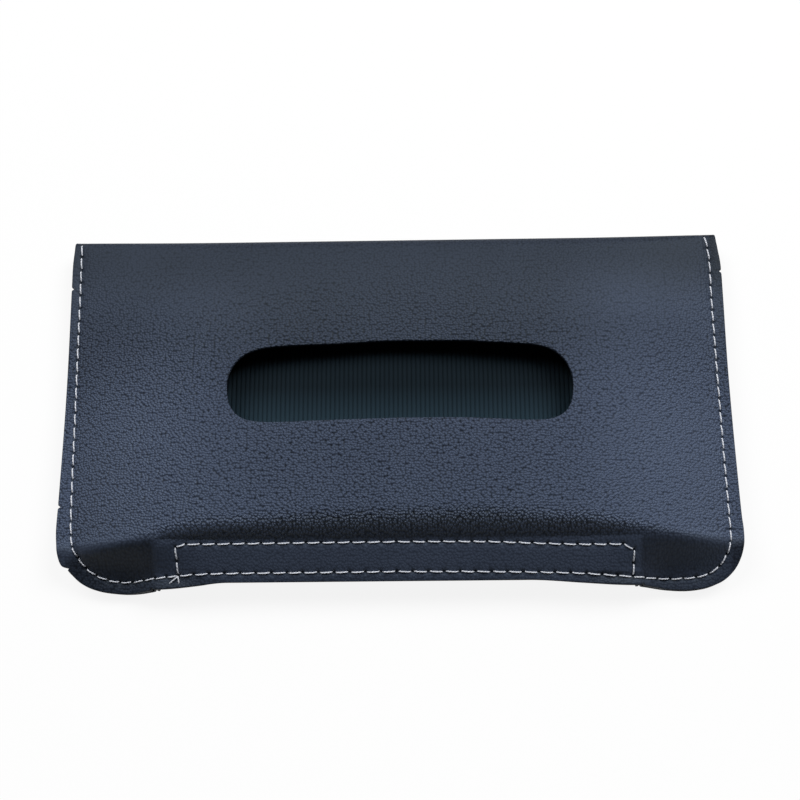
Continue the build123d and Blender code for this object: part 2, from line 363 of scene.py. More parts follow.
def crease_corner(x, share):
    """Y of the corner at the crease and its height over the flanges, before it is rounded."""
    corner_y = np.interp(x, crease_line[:, 0], crease_line[:, 1])
    return corner_y, share * (crease_room + wall_slope_top * np.maximum(corner_y - crease_middle_y, 0))


def fold_meeting(x):
    """Angle on the top fold, from upright, where the front leather runs onto it."""
    fold = fold_shape(x)
    crease_y, crease_z = crease_corner(x, fold_bulge(x))
    crease_z = crease_z + flange_face
    angle = np.zeros_like(x)
    for _ in range(4):
        meet_y, meet_z = fold_point(fold, angle)
        angle = np.arctan2(crease_z - meet_z, meet_y - crease_y)
    return angle


def wall_corners(x, share):
    """Foot, knee and top of the lower wall, with heights over the flanges."""
    corner = corner_share(x)
    foot = foot_y(x)
    foot_z = mix(lip_edge_z - flange_face, 0.0, corner)
    top_y, top_z = crease_corner(x, share)
    top_y = np.maximum(top_y, foot + least_wall)
    straight = foot_z + (top_z - foot_z) * np.clip((hinge_y - foot) / (top_y - foot), 0, 1)
    knee_z = mix(hinge_z - flange_face, straight, corner)
    return foot, foot_z, knee_z, top_y, top_z


def wall_slopes(foot, foot_z, knee_z, top_y, top_z):
    """Slopes of the lower wall below and above its knee, one slope where it has no room for both."""
    lower = (knee_z - foot_z) / (hinge_y - foot)
    upper = (top_z - knee_z) / np.maximum(top_y - hinge_y, least_run)
    no_knee = top_y - hinge_y < least_run
    lower = np.where(no_knee, (top_z - foot_z) / np.maximum(top_y - foot, least_run), lower)
    return lower, np.where(no_knee, lower, upper)


def front_height(x, y):
    """Height of the outer face of the front leather below the top fold."""
    share = bulge_share(x, y)
    wall = wall_corners(x, share)
    foot, foot_z, _, top_y, top_z = wall
    lower_slope, upper_slope = wall_slopes(*wall)
    meet_y, meet_z = fold_point(fold_shape(x), fold_meeting(x))
    front_slope = (meet_z - flange_face - top_z) / (meet_y - top_y)
    foot_turn = mix(foot_softness, corner_foot_softness, corner_share(x))
    top_turn = mix(corner_softness, crease_softness, share**crease_sharpening)
    height = foot_z + lower_slope * ramp(y - foot, foot_turn)
    height += (upper_slope - lower_slope) * ramp(y - hinge_y, knee_softness)
    height += (front_slope - upper_slope) * ramp(y - top_y, top_turn)
    up_front = np.clip((y - top_y) / (meet_y - top_y), 0, 1)
    height += 4 * front_bulge * share**2 * up_front * (1 - up_front)
    over_slot = ease((sag_top - y) / sag_fall) * ease((y - sag_low) / sag_rise)
    height -= slot_sag * (over_slot * np.exp(-((x / slot_sag_width) ** 2)))
    return flange_face + height + flange_lift(x, y, *rise_on_front)


def front_face(places):
    """Outer face of the front leather at places of its cut, over the top fold to the leaf."""
    x, run = places[:, 0], places[:, 1]
    start_y = np.minimum(run, fold_start)
    start_z = front_height(x, start_y)
    fold = fold_shape(x)
    radius, axis_y, _ = fold
    angle = fold_meeting(x)
    meet_y, meet_z = fold_point(fold, angle)
    slant = np.hypot(meet_y - start_y, meet_z - start_z)
    bend = radius * (pi - angle)
    along = (run - fold_start) / fold_span * (slant + bend + axis_y - leaf_end)
    share = np.clip(along / slant, 0, 1)
    bend_y, bend_z = fold_point(fold, angle + np.clip(along - slant, 0, bend) / radius)
    on_bend = along > slant
    past = np.maximum(along - slant - bend, 0)
    y = np.where(on_bend, bend_y - past, mix(start_y, meet_y, share))
    z = np.where(on_bend, bend_z, mix(start_z, meet_z, share))
    over = run > fold_start
    return np.stack([x, np.where(over, y, start_y), np.where(over, z, start_z)], 1)


def flange_plane(places):
    """Outer face of the side flanges, carried on level between them."""
    x, y = places[:, 0], places[:, 1]
    return np.stack([x, y, flange_face + flange_lift(x, y, *rise_on_flange)], 1)


def back_sheet_face(places):
    """Outer face of the back leather: two leathers under the front's flanges."""
    return flange_plane(places) - normals_of(flange_plane, places, 1) * 2 * leather


def back_and_leaf_face(places):
    """Outermost face on the back: the folded leaf above its edge, the back leather below."""
    face = back_sheet_face(places)
    face[:, 2] = np.where(places[:, 1] > leaf_end - leaf_step, leaf_face, face[:, 2])
    return face


def normals_of(face, places, side):
    """Unit normals of a face; side is 1 where it looks up and -1 where it looks down."""
    step = 0.15
    across = face(places + [step, 0]) - face(places - [step, 0])
    along = face(places + [0, step]) - face(places - [0, step])
    normal = np.cross(across, along) * side
    return normal / np.linalg.norm(normal, axis=1)[:, None]


def nearest(points, others):
    """Distance from each point to the nearest of the others."""
    batch = 4000
    found = np.empty(len(points))
    for start in range(0, len(points), batch):
        gap = points[start:start + batch, None, :] - others[None, :, :]
        found[start:start + batch] = np.sqrt((gap**2).sum(2).min(1))
    return found


class Row:
    """A row of stitches along a path, with its holes and the middles of its stitches."""

    def __init__(self, points, pitch=stitch_pitch):
        self.path = even_path(points, row_step)
        run = run_along(self.path)
        ends = even_places(run, pitch)
        self.holes = points_at(self.path, run, ends)
        self.middles = points_at(self.path, run, (ends[1:] + ends[:-1]) / 2)

    def bed(self):
        """Points of the cut at its holes and along the row, which let the leather dent."""
        line = even_path(self.path, lane_step)
        ahead = np.gradient(line, axis=0)
        side = np.stack([-ahead[:, 1], ahead[:, 0]], 1) / np.linalg.norm(ahead, axis=1)[:, None]
        lanes = [line + side * offset for offset in lane_offsets]
        turns = np.arange(6) * pi / 3
        rings = [self.holes + [hole_ring * cos(turn), hole_ring * sin(turn)] for turn in turns]
        return np.vstack([self.holes] + rings), np.vstack(lanes)


def dent_of(places, rows):
    """How deep the stitches press into a face, and how much of a hole is here."""
    depth = np.zeros(len(places))
    hole = np.zeros(len(places))
    for row in rows:
        low = row.path.min(0) - press_reach
        high = row.path.max(0) + press_reach
        near = np.where(((places > low) & (places < high)).all(1))[0]
        if len(near) == 0:
            continue
        away = nearest(places[near], row.path)
        pricked = nearest(places[near], row.holes)
        pinch = mix(press_between, 1, np.exp(-((pricked / pinch_reach) ** 2)))
        spot = np.exp(-((pricked / hole_radius) ** 2))
        dent = press_depth * pinch * np.exp(-((away / press_width) ** 2)) + hole_depth * spot
        depth[near] = np.maximum(depth[near], dent)
        hole[near] = np.maximum(hole[near], spot)
    return depth, hole


def spaced(points, others, gap):
    """Those points that are more than a gap away from the others."""
    if len(points) == 0 or len(others) == 0:
        return points
    return points[nearest(points, others) > gap]


def inside(points, ring):
    """Which points are inside a closed ring."""
    x, y = points[:, 0], points[:, 1]
    result = np.zeros(len(points), bool)
    for (x1, y1), (x2, y2) in zip(ring, np.roll(ring, -1, axis=0)):
        crosses = (y1 > y) != (y2 > y)
        with np.errstate(divide="ignore", invalid="ignore"):
            result ^= crosses & (x < (x2 - x1) * (y - y1) / (y2 - y1) + x1)
    return result


def in_cut(points, rings):
    """Which points are inside the first ring and outside the other ones."""
    result = inside(points, rings[0])
    for ring in rings[1:]:
        result &= ~inside(points, ring)
    return result


class Loop:
    """A closed edge of a cut, made of chains that are free or joined to another piece."""

    def __init__(self, chains):
        self.points = np.vstack([chain[:-1] for chain, _ in chains])
        leaving = np.concatenate([np.full(len(chain) - 1, joined) for chain, joined in chains])
        arriving = np.roll(leaving, 1)
        ahead = np.roll(self.points, -1, axis=0) - self.points
        out = np.stack([ahead[:, 1], -ahead[:, 0]], 1) / np.linalg.norm(ahead, axis=1)[:, None]
        before = np.roll(out, 1, axis=0)
        total = out * (~leaving)[:, None] + before * (~arriving)[:, None]
        length = np.linalg.norm(total, axis=1)
        self.out = total / np.maximum(length, 1e-9)[:, None]
        self.out[length < 1e-6] = 0
        self.touches = leaving | arriving


def notched(path, notches, depth=1.0, half=0.7):
    """The path with small V cuts, pushed towards the middle of the pouch."""
    path = path.copy()
    for notch in notches:
        place = path[np.argmin(np.linalg.norm(path - notch, axis=1))]
        on_side = abs(place[0]) > side_edge_x
        inward = np.array([-np.sign(place[0]), 0.0]) if on_side else np.array([0.0, 1.0])
        away = np.linalg.norm(path - place, axis=1)
        path += inward * (depth * np.clip(1 - away / half, 0, 1))[:, None]
    return path


def edge_profile(thickness):
    """How far out and how deep each of the six levels of a rounded edge is."""
    radius = min(edge_radius, thickness * 0.3)
    shifts = np.array([-1, -round_middle, 0, 0, -round_middle, -1]) * radius
    depths = np.array([0, round_middle, 1]) * radius
    return shifts, np.concatenate([depths, thickness - depths[::-1]])


def ring_pairs(rings):
    """Numbers of neighbouring points round each ring, counted on through all rings."""
    pairs = []
    start = 0
    for ring in rings:
        count = len(ring)
        pairs += [(start + k, start + (k + 1) % count) for k in range(count)]
        start += count
    return pairs


def cut_middle(rings, rows, spacing):
    """Points inside a cut: on the beds of its stitches, and on a grid between them."""
    holes = np.empty((0, 2))
    lanes = np.empty((0, 2))
    for row in rows:
        row_holes, row_lanes = row.bed()
        holes = np.vstack([holes, spaced(row_holes, holes, hole_gap)])
        lanes = np.vstack([lanes, spaced(row_lanes, lanes, lane_gap)])
    beds = np.vstack([holes, spaced(lanes, holes, lane_to_hole)])
    edge = np.vstack(rings)
    low, high = edge.min(0), edge.max(0)
    columns = np.arange(low[0], high[0], spacing)
    lines = np.arange(low[1], high[1], spacing * 0.9)
    grid = np.array([(x + spacing / 2 * (k % 2), y) for k, y in enumerate(lines) for x in columns])
    middle = np.vstack([beds, spaced(grid[inside(grid, rings[0])], beds, spacing * 0.5)])
    return spaced(middle[in_cut(middle, rings)], edge, min(edge_gap, spacing * 0.4))


def cut_triangles(rings, pairs, flat, side):
    """Triangles between the points of a cut, turned the way that its face looks."""
    _, _, found, origins, _, _ = delaunay_2d_cdt([tuple(place) for place in flat], pairs, [], 2, 1e-7)
    triangles = np.array([tuple(origins[k][0] for k in triangle) for triangle in found])
    triangles = triangles[in_cut(flat[triangles].mean(1), rings)]
    return triangles if side > 0 else triangles[:, ::-1]


def sheet_faces(triangles, pairs, total, side):
    """Faces of both sides of a sheet and of the edge between them, and the look of each."""
    faces = [tuple(triangle) for triangle in triangles]
    faces += [tuple(total + triangle[::-1]) for triangle in triangles]
    kinds = [0] * len(triangles) + [1] * len(triangles)
    levels = [0] + [2 * total + k * len(pairs) for k in range(4)] + [total]
    for first, second in pairs:
        for number, (upper, lower) in enumerate(zip(levels, levels[1:])):
            quad = (upper + first, lower + first, lower + second, upper + second)
            faces.append(quad if side > 0 else quad[::-1])
            kinds.append(0 if number < 4 else 1)
    return faces, kinds


def add_value(mesh, name, values):
    """Stores one number for each point of a mesh."""
    field = mesh.attributes.new(name, "FLOAT", "POINT").data
    field.foreach_set("value", np.asarray(values, np.float32))


def sharpen(mesh, points):
    """Marks the edges between these points as sharp, so that pieces that meet shade alike."""
    chosen = np.zeros(len(mesh.vertices), bool)
    chosen[points] = True
    ends = np.zeros(len(mesh.edges) * 2, int)
    mesh.edges.foreach_get("vertices", ends)
    sharp = chosen[ends.reshape(-1, 2)].all(1)
    mesh.attributes.new("sharp_edge", "BOOLEAN", "EDGE").data.foreach_set("value", sharp)


def new_object(name, data):
    """A new object of the scene with this mesh, lamp or camera."""
    made = bpy.data.objects.new(name, data)
    bpy.context.scene.collection.objects.link(made)
    return made


def sheet_points(loops, flat, dent, face, side, thickness, other_face):
    """Points of both sides of a sheet, then of the levels of its edge between them."""
    shifts, depths = edge_profile(thickness)
    normal = normals_of(face, flat, side)
    layers = [face(flat) - normal * dent[:, None]]
    layers.append(face(flat) - normal * thickness if other_face is None else other_face(flat, normal))
    outline = np.vstack([loop.points for loop in loops])
    out = np.vstack([loop.out for loop in loops])
    for shift, depth in zip(shifts[1:5], depths[1:5]):
        places = outline + out * shift
        normal = normals_of(face, places, side)
        if other_face is None:
            layers.append(face(places) - normal * depth)
        else:
            layers.append(mix(face(places), other_face(places, normal), depth / thickness))
    return np.vstack(layers) * MM


def sheet_of(name, loops, face, side, thickness, looks, rows=(), spacing=cell, other_face=None):
    """A sheet cut along its loops, laid on a face, with thickness and rounded free edges."""
    shifts, _ = edge_profile(thickness)
    rings = [loop.points + loop.out * shifts[0] for loop in loops]
    pairs = ring_pairs(rings)
    flat = np.vstack(rings + [cut_middle(rings, rows, spacing)])
    total = len(flat)
    dent, hole = dent_of(flat, rows)
    points = sheet_points(loops, flat, dent, face, side, thickness, other_face)
    faces, kinds = sheet_faces(cut_triangles(rings, pairs, flat, side), pairs, total, side)
    mesh = bpy.data.meshes.new(name)
    mesh.from_pydata(points.tolist(), [], faces)
    mesh.polygons.foreach_set("material_index", kinds)
    mesh.polygons.foreach_set("use_smooth", [True] * len(faces))
    add_value(mesh, "cut_edge", np.arange(len(points)) >= 2 * total)
    add_value(mesh, "hole", np.concatenate([hole, np.zeros(len(points) - total)]))
    touching = np.where(np.concatenate([loop.touches for loop in loops]))[0]
    sharpen(mesh, np.concatenate([touching, total + touching]))
    mesh.update()
    for look in looks:
        mesh.materials.append(look)
    return new_object(name, mesh)


class Wire:
    """A socket of a node tree, which sums and products turn into Math nodes."""

    def __init__(self, tree, socket=None):
        self.tree = tree
        self.socket = socket

    def node(self, kind, settings, values, output=0):
        """A node of this kind with its settings, then the values or wires of its sockets."""
        made = self.tree.nodes.new(kind)
        for name, value in settings.items():
            setattr(made, name, value)
        for name, value in values.items():
            if isinstance(value, Wire):
                self.tree.links.new(value.socket, made.inputs[name])
            else:
                made.inputs[name].default_value = value
        return Wire(self.tree, made.outputs[output] if made.outputs else None)

    def math(self, operation, first, second=0.0):
        """A Math node."""
        return self.node("ShaderNodeMath", {"operation": operation}, {0: first, 1: second})

    def __add__(self, other):
        return self.math("ADD", self, other)

    __radd__ = __add__

    def __sub__(self, other):
        return self.math("SUBTRACT", self, other)

    def __rsub__(self, other):
        return self.math("SUBTRACT", other, self)

    def __mul__(self, other):
        return self.math("MULTIPLY", self, other)

    __rmul__ = __mul__

    def __pow__(self, other):
        return self.math("POWER", self, other)

    def __rpow__(self, other):
        return self.math("POWER", other, self)


def blank_material(name):
    """An empty node material and a wire into its tree."""
    material = bpy.data.materials.new(name)
    material.use_nodes = True
    material.node_tree.nodes.clear()
    return material, Wire(material.node_tree)


def finish_material(wire, values):
    """Leads a Principled shader with these values to the material's output."""
    shader = wire.node("ShaderNodeBsdfPrincipled", {}, values)
    wire.node("ShaderNodeOutputMaterial", {}, {"Surface": shader})


def object_place(wire):
    """Object coordinates."""
    return wire.node("ShaderNodeTexCoord", {}, {}, "Object")


def axes(wire, place):
    """X, Y and Z of a place."""
    split = wire.node("ShaderNodeSeparateXYZ", {}, {"Vector": place}).socket.node
    return [Wire(wire.tree, socket) for socket in split.outputs]


def value_of(wire, name):
    """One of the mesh's own values."""
    return wire.node("ShaderNodeAttribute", {"attribute_name": name}, {}, "Fac")


def noise(wire, place, scale, detail=2.0, rough=0.5):
    """Noise from 0 to 1 at a scale per metre."""
    values = {"Vector": place, "Scale": scale, "Detail": detail, "Roughness": rough}
    return wire.node("ShaderNodeTexNoise", {}, values)


def wave(wire, value, pitch):
    """Sine wave of this pitch along a value, from -1 to 1."""
    return wire.math("SINE", value * (2 * pi / pitch))


def fade(wire, value, start, end, low=0.0, high=1.0, turn="SMOOTHSTEP"):
    """Goes from low to high as value goes from start to end, softly unless turn is LINEAR."""
    span = {"Value": value, "From Min": start, "From Max": end, "To Min": low, "To Max": high}
    return wire.node("ShaderNodeMapRange", {"interpolation_type": turn}, span)


def bumped(wire, height, distance, strength):
    """Normals of a surface with this height, where 1 is a distance in metres."""
    values = {"Strength": strength, "Distance": distance, "Height": height}
    return wire.node("ShaderNodeBump", {}, values)


def blend_colour(wire, share, first, second):
    """A colour between two, by share."""
    values = {0: share, 6: first, 7: second}
    return wire.node("ShaderNodeMix", {"data_type": "RGBA"}, values, 2)


def srgb(red, green, blue):
    """A colour from its screen values, 0 to 255."""
    linear = []
    for value in (red, green, blue):
        share = value / 255
        linear.append(share / 12.92 if share < 0.04045 else ((share + 0.055) / 1.055) ** 2.4)
    return (*linear, 1.0)


def leather_grain(wire, place, up_pouch):
    """Pebbles of the leather, and their depth, less near the top fold and on the pressed wall."""
    pressed = fade(wire, up_pouch, -0.052, -0.046, 0.25, 1.0)
    depth = fade(wire, up_pouch, 0.062, -0.005, 0.2, 1.0) * pressed
    bend = wire.node("ShaderNodeTexNoise", {}, {"Vector": place, "Scale": 700.0}, 1)
    shift = wire.node("ShaderNodeVectorMath", {"operation": "SCALE"}, {0: bend, "Scale": 0.0005})
    bent = wire.node("ShaderNodeVectorMath", {"operation": "ADD"}, {0: place, 1: shift})
    flat_cells = {"feature": "F1", "voronoi_dimensions": "2D"}
    cells = {"Vector": bent, "Scale": 1100.0, "Randomness": 0.85}
    return 0.55 - wire.node("ShaderNodeTexVoronoi", flat_cells, cells), depth


def painted_light_and_shade(wire, across, up_pouch, off_middle):
    """Painted light: lighter lower half and sides, the right one most, and painted shade in a darker margin
    at the right.
    """
    lower_half = fade(wire, up_pouch, 0.03, -0.015)
    near_sides = fade(wire, off_middle, 0.03, 0.085) * fade(wire, up_pouch, 0.058, 0.034)
    near_right = near_sides * fade(wire, across, 0.05, 0.095)
    right_margin_painted_shade = fade(wire, across, 0.1135, 0.1155)
    return lower_half * 0.33 + near_sides * 0.155 + near_right * 0.155 - right_margin_painted_shade * 0.17


def painted_crease_shade(wire, across, up_pouch, off_middle):
    """Painted shade: dark band along and below the crease, darker towards its ends and faint at the left
    seam.
    """
    band_place = up_pouch + fade(wire, off_middle, 0.05, 0.115, 0.0, 0.0062) - across * 0.016
    band_start = fade(wire, off_middle, 0.02, 0.06, -0.039, -0.0442)
    above_lip = fade(wire, up_pouch, -0.0515, -0.05)
    beside_lip = fade(wire, off_middle, 0.081, 0.084)
    band = fade(wire, band_place, band_start, -0.0476) * wire.math("MAXIMUM", above_lip, beside_lip)
    tone = fade(wire, off_middle, 0.03, 0.085, 0.42, 0.52)
    return band * (tone * fade(wire, across, -0.1155, -0.1125, 0.35, 1.0))


def painted_mouth_shade(wire, across, up_pouch, off_middle):
    """Painted shade: dark strip along the mouth's edge, darker at its ends, the right one most."""
    tone = fade(wire, off_middle, 0.05, 0.078, 0.12, 0.5) + fade(wire, across, 0.05, 0.08, 0.0, 0.1)
    return fade(wire, up_pouch, -0.0598, -0.0615) * tone


def painted_lip_shade(wire, up_pouch, off_middle):
    """Painted shade: darker ends of the lip."""
    return fade(wire, up_pouch, -0.05, -0.0515) * fade(wire, off_middle, 0.02, 0.075, 0.04, 0.2)


def leather_material():
    """Slate leather with pebble grain, its tones over the front with painted light and shade, dark cut
    edges, and painted shade in its stitch holes.
    """
    material, wire = blank_material("slate_leather")
    place = object_place(wire)
    across, up_pouch, _ = axes(wire, place)
    off_middle = wire.math("ABSOLUTE", across)
    pebble, depth = leather_grain(wire, place, up_pouch)
    soft = noise(wire, place, 900.0, 0.0)
    wobble = noise(wire, place, 300.0, 1.0)
    tone = noise(wire, place, 28.0, 3.0)
    height = (pebble + soft * 0.1) * depth + wobble * 0.1
    raised = (pebble - 0.05) * depth * 1.15
    # Painted light over the front, with the leather's own random tone and grain
    tone_grain_and_painted_light = painted_light_and_shade(wire, across, up_pouch, off_middle) + tone * 0.2 + 0.05 + raised
    # Painted shade along the crease, the mouth's edge and the lip's ends
    crease_band_painted_shade = painted_crease_shade(wire, across, up_pouch, off_middle)
    crease_and_mouth_painted_shade = wire.math("MAXIMUM", crease_band_painted_shade, painted_mouth_shade(wire, across, up_pouch, off_middle))
    shade = wire.math("MAXIMUM", crease_and_mouth_painted_shade, painted_lip_shade(wire, up_pouch, off_middle))
    grained = blend_colour(wire, tone_grain_and_painted_light - shade, srgb(18, 22, 30), srgb(79, 90, 112))
    cut = blend_colour(wire, value_of(wire, "cut_edge") * 0.55, grained, srgb(22, 25, 31))
    finish_material(wire, {
        # Painted shade in the stitch holes
        "Base Color": blend_colour(wire, value_of(wire, "hole"), cut, srgb(12, 15, 20)),
        "Roughness": 0.58 - depth * 0.18 + tone * 0.08,
        "Specular IOR Level": 0.3,
        "Specular Tint": (0.72, 0.86, 1.0, 1.0),
        "Normal": bumped(wire, height, 0.0006, 1.0),
    })
    return material


def backing_material():
    """Fine knitted cloth on the inner side of the leather."""
    material, wire = blank_material("cloth_backing")
    place = object_place(wire)
    across, up_pouch, _ = axes(wire, place)
    loops = wave(wire, across, 0.0007) * wave(wire, up_pouch, 0.0009)
    fuzz = noise(wire, place, 2600.0)
    finish_material(wire, {
        "Base Color": blend_colour(wire, fuzz, srgb(24, 27, 32), srgb(46, 51, 58)),
        "Roughness": 0.95,
        "Specular IOR Level": 0.15,
        "Normal": bumped(wire, loops * 0.5 + fuzz, 0.0002, 0.6),
    })
    return material


def thread_material(name, dark, light):
    """Two-ply sewing thread; its plies run round the thread by the mesh's own values."""
    material, wire = blank_material(name)
    turns = value_of(wire, "along") * (1 / 0.0011) + value_of(wire, "around")
    ply = wire.math("ABSOLUTE", wire.math("SINE", turns * pi))
    fibre = noise(wire, object_place(wire), 5200.0)
    finish_material(wire, {
        "Base Color": blend_colour(wire, ply * 0.7 + fibre * 0.3, dark, light),
        "Roughness": 0.62,
        "Specular IOR Level": 0.3,
        "Normal": bumped(wire, ply + fibre * 0.3, 0.00012, 0.7),
    })
    return material


def lining_material():
    """Dark ribbed lining with a faint blue green cast, with painted shade in the grooves between its ribs
    and under the upper part of the slot.
    """
    material, wire = blank_material("ribbed_lining")
    place = object_place(wire)
    _, up_pouch, level = axes(wire, place)
    crown = fade(wire, level, (lining_top - 0.45) * MM, lining_top * MM, turn="LINEAR")
    # Painted shade: darker towards the upper part of the slot
    lower = fade(wire, up_pouch, 0.008, -0.016, turn="LINEAR")
    fuzz = noise(wire, place, 2400.0)
    # Painted shade in the grooves between the ribs, lighter on their crowns
    groove_painted_shade = blend_colour(wire, lower, srgb(19, 27, 32), srgb(40, 57, 67))
    top = blend_colour(wire, lower, srgb(25, 35, 42), srgb(50, 71, 84))
    finish_material(wire, {
        "Base Color": blend_colour(wire, crown, groove_painted_shade, top),
        "Roughness": 0.8 + fuzz * 0.12,
        "Specular IOR Level": 0.04,
        "Normal": bumped(wire, fuzz, 0.00015, 0.5),
    })
    return material


def facing_material():
    """Dark cloth in a plain weave."""
    material, wire = blank_material("facing_cloth")
    pitch = 0.0008
    place = object_place(wire)
    across, up_pouch, _ = axes(wire, place)
    warp = wave(wire, across, pitch) * 0.5 + 0.5
    weft = wave(wire, up_pouch, pitch) * 0.5 + 0.5
    weave = wire.math("MAXIMUM", warp, weft)
    fuzz = noise(wire, place, 1.6 / pitch)
    shade = weave * 0.6 + fuzz * 0.4
    finish_material(wire, {
        "Base Color": blend_colour(wire, shade, srgb(18, 20, 24), srgb(48, 52, 60)),
        "Roughness": 0.9,
        "Specular IOR Level": 0.25,
        "Normal": bumped(wire, weave + fuzz * 0.4, pitch * 0.2, 0.6),
    })
    return material


def elastic_material():
    """Black elastic webbing: cords along it, crossed by fine picks."""
    material, wire = blank_material("elastic_webbing")
    place = object_place(wire)
    across, up_pouch, _ = axes(wire, place)
    cord = wire.math("ABSOLUTE", wave(wire, across, 0.0025))
    weave = cord * (0.75 + 0.25 * wave(wire, up_pouch, 0.0011))
    fuzz = noise(wire, place, 2600.0)
    shade = weave * 0.7 + fuzz * 0.3
    finish_material(wire, {
        "Base Color": blend_colour(wire, shade, srgb(10, 11, 13), srgb(43, 45, 50)),
        "Roughness": 0.78,
        "Specular IOR Level": 0.3,
        "Normal": bumped(wire, weave + fuzz * 0.2, 0.0003, 0.7),
    })
    return material


def board_material():
    """Grey fibre board that keeps the back flat."""
    material, wire = blank_material("grey_board")
    place = object_place(wire)
    fibre = noise(wire, place, 900.0, 4.0, 0.6)
    shade = fibre * 0.6 + noise(wire, place, 160.0) * 0.4
    finish_material(wire, {
        "Base Color": blend_colour(wire, shade, srgb(78, 76, 72), srgb(128, 125, 118)),
        "Roughness": 0.9,
        "Normal": bumped(wire, fibre, 0.0001, 0.4),
    })
    return material


def magnet_material():
    """Nickel plated magnet with fine scuffs."""
    material, wire = blank_material("nickel_plate")
    scuff = noise(wire, object_place(wire), 700.0, 5.0, 0.7)
    finish_material(wire, {
        "Base Color": blend_colour(wire, scuff, srgb(150, 152, 155), srgb(205, 206, 208)),
        "Roughness": 0.22 + scuff * 0.25,
        "Metallic": 1.0,
    })
    return material


# Looks; a sheet has one for its face and one for its other side
leather_looks = [leather_material(), backing_material()]
white_thread = thread_material("white_thread", srgb(165, 171, 184), srgb(238, 241, 248))
black_thread = thread_material("strap_thread", srgb(14, 15, 18), srgb(56, 58, 64))
lining_look = lining_material()
facing_look = facing_material()
elastic_look = elastic_material()
board_look = board_material()
magnet_look = magnet_material()


def grow_tree(name, inputs, output):
    """A geometry tree: a wire into it, the wires of its inputs and their identifiers."""
    tree = bpy.data.node_groups.new(name, "GeometryNodeTree")
    identifiers = {}
    for label, kind in {"Points": "Geometry", **inputs, "Material": "Material"}.items():
        made = tree.interface.new_socket(name=label, in_out="INPUT", socket_type="NodeSocket" + kind)
        identifiers[label] = made.identifier
    tree.interface.new_socket(name=output, in_out="OUTPUT", socket_type="NodeSocketGeometry")
    entry = tree.nodes.new("NodeGroupInput")
    given = {label: Wire(tree, entry.outputs[label]) for label in identifiers}
    return Wire(tree), given, identifiers


def own_value(wire, name, kind="FLOAT"):
    """One of the points' own values."""
    return wire.node("GeometryNodeInputNamedAttribute", {"data_type": kind}, {"Name": name})


def marked(wire, curve, name, value):
    """The curve with a number stored on its points."""
    values = {"Geometry": curve, "Name": name, "Value": value}
    return wire.node("GeometryNodeStoreNamedAttribute", {"data_type": "FLOAT"}, values)


def tube_of(wire, line, ring):
    """A ring swept along a line, with closed ends."""
    values = {"Curve": line, "Profile Curve": ring, "Fill Caps": True}
    return wire.node("GeometryNodeCurveToMesh", {}, values)


def lay_on_points(wire, given, piece, values, output):
    """Lays a piece on each point, as smooth mesh with the material, and leads it out."""
    values = {"Points": given["Points"], "Instance": piece, **values}
    laid = wire.node("GeometryNodeInstanceOnPoints", {}, values)
    real = wire.node("GeometryNodeRealizeInstances", {}, {"Geometry": laid})
    smooth = wire.node("GeometryNodeSetShadeSmooth", {}, {"Geometry": real})
    values = {"Geometry": smooth, "Material": given["Material"]}
    finished = wire.node("GeometryNodeSetMaterial", {}, values)
    wire.node("NodeGroupOutput", {}, {output: finished})


def stitch_tree():
    """Geometry nodes that put one bent thread on each point of a row."""
    inputs = {"Length": "Float", "Thread Radius": "Float", "Dip": "Float"}
    wire, given, identifiers = grow_tree("stitches", inputs, "Stitches")
    half = given["Length"] * 0.5
    start = wire.node("ShaderNodeCombineXYZ", {}, {"X": half * -1.0})
    end = wire.node("ShaderNodeCombineXYZ", {}, {"X": half})
    line = wire.node("GeometryNodeCurvePrimitiveLine", {}, {"Start": start, "End": end})
    fine = wire.node("GeometryNodeResampleCurve", {}, {"Curve": line, "Count": 11})
    share = wire.node("GeometryNodeSplineParameter", {}, {}, "Factor")
    length = wire.node("GeometryNodeSplineParameter", {}, {}, "Length")
    from_middle = wire.math("ABSOLUTE", share * 2.0 - 1.0)
    sink = wire.node("ShaderNodeCombineXYZ", {}, {"Z": given["Dip"] * from_middle**5.0 * -1.0})
    bent = wire.node("GeometryNodeSetPosition", {}, {"Geometry": fine, "Offset": sink})
    round_thread = {"Resolution": 8, "Radius": given["Thread Radius"]}
    ring = wire.node("GeometryNodeCurvePrimitiveCircle", {}, round_thread)
    tube = tube_of(wire, marked(wire, bent, "along", length), marked(wire, ring, "around", share))
    turn = wire.node("FunctionNodeEulerToRotation", {}, {0: own_value(wire, "turn", "FLOAT_VECTOR")})
    size = wire.node("ShaderNodeCombineXYZ", {}, {"X": own_value(wire, "stretch"), "Y": 1.0, "Z": 1.0})
    lay_on_points(wire, given, tube, {"Rotation": turn, "Scale": size}, "Stitches")
    return wire.tree, identifiers


def rib_tree():
    """Geometry nodes that lay one rounded rib on each point, as long as the point says."""
    inputs = {"Rib Radius": "Float", "Rib Flatness": "Float"}
    wire, given, identifiers = grow_tree("ribs", inputs, "Ribs")
    ends = {"Start": (0, -0.5, 0), "End": (0, 0.5, 0)}
    line = wire.node("GeometryNodeCurvePrimitiveLine", {}, ends)
    round_rib = {"Resolution": 10, "Radius": given["Rib Radius"]}
    ring = wire.node("GeometryNodeCurvePrimitiveCircle", {}, round_rib)
    scale = {"X": 1.0, "Y": own_value(wire, "reach"), "Z": given["Rib Flatness"]}
    size = wire.node("ShaderNodeCombineXYZ", {}, scale)
    lay_on_points(wire, given, tube_of(wire, line, ring), {"Scale": size}, "Ribs")
    return wire.tree, identifiers


stitches, stitch_inputs = stitch_tree()
ribs, rib_inputs = rib_tree()


